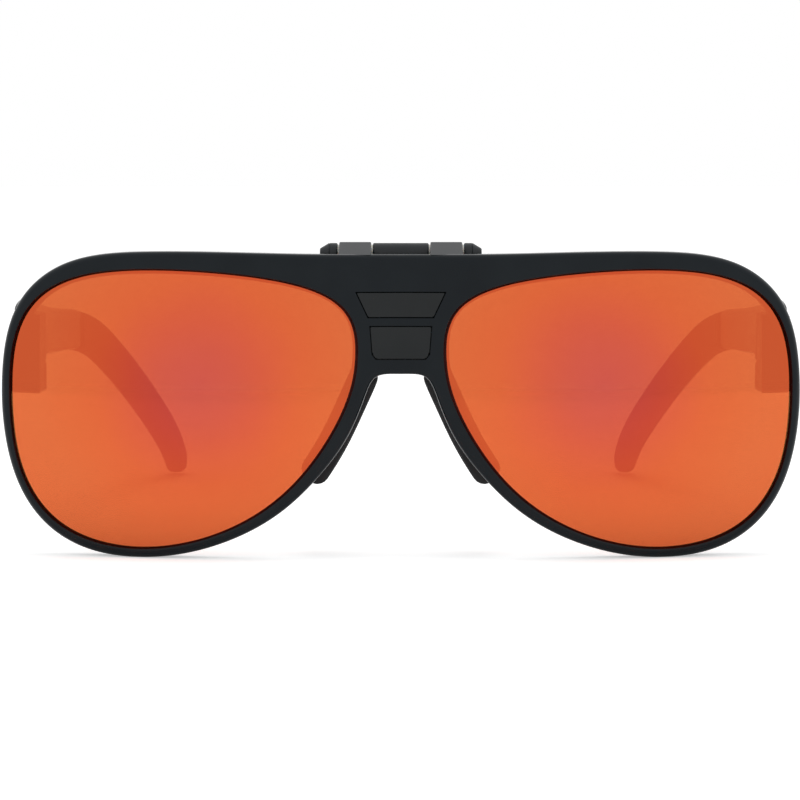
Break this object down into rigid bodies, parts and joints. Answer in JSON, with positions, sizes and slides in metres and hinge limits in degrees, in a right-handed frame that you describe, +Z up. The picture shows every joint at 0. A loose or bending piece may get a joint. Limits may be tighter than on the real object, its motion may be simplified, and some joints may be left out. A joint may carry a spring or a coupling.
{
  "type": "flip-up sunglasses",
  "caption": "Flip-up mountain sunglasses with a mirrored lens front hinged to a brow bar that carries adjustable nose pads and folding temples.",
  "frame": {"origin": "middle of the bounding box's base, with the glasses open and the front down, standing on the lens rims and the temple tips", "axes": "+Z up, the lenses face -Y, the temples run back along +Y, +X is the wearer's left"},
  "size_m": [0.1484, 0.1437, 0.0581],
  "materials": {
    "front_plastic": "polished injection-moulded black",
    "bar_plastic": "satin moulded black",
    "arm_plastic": "polished moulded black",
    "inlay_plastic": "fine matt moulded black",
    "mirror_lens": "polycarbonate with an orange mirror coating over a dark tint",
    "soft_rubber": "matt soft-touch rubber",
    "steel": "turned stainless steel",
    "nylon": "natural nylon"
  },
  "bodies": {
    "chassis": {"brow_bar": "bar_plastic", "flip_pin": "steel", "flip_washers": "nylon", "nose_pad_left": "soft_rubber", "nose_pad_right": "soft_rubber", "nose_core_left": "steel", "nose_core_right": "steel", "hinge_screw_left": "steel", "hinge_screw_right": "steel", "hinge_washers_left": "nylon", "hinge_washers_right": "nylon"},
    "flip_front": {"front_frame": "front_plastic", "lens_left": "mirror_lens", "lens_right": "mirror_lens", "bridge_inlay_upper": "inlay_plastic", "bridge_inlay_lower": "inlay_plastic"},
    "left_temple": {"temple_arm_left": "arm_plastic", "temple_core_left": "steel", "ear_sleeve_left": "soft_rubber"},
    "right_temple": {"temple_arm_right": "arm_plastic", "temple_core_right": "steel", "ear_sleeve_right": "soft_rubber"}
  },
  "joints": [
    {"name": "flip", "type": "hinge", "parent": "chassis", "child": "flip_front", "pos_m": [0, -0.05725, 0.0559], "axis": [-1, 0, 0], "range_deg": [0, 90]},
    {"name": "fold_left", "type": "hinge", "parent": "chassis", "child": "left_temple", "pos_m": [0.069, -0.05165, 0.03875], "axis": [0, 0, 1], "range_deg": [0, 84]},
    {"name": "fold_right", "type": "hinge", "parent": "chassis", "child": "right_temple", "pos_m": [-0.069, -0.05165, 0.03875], "axis": [0, 0, -1], "range_deg": [0, 76]}
  ]
}
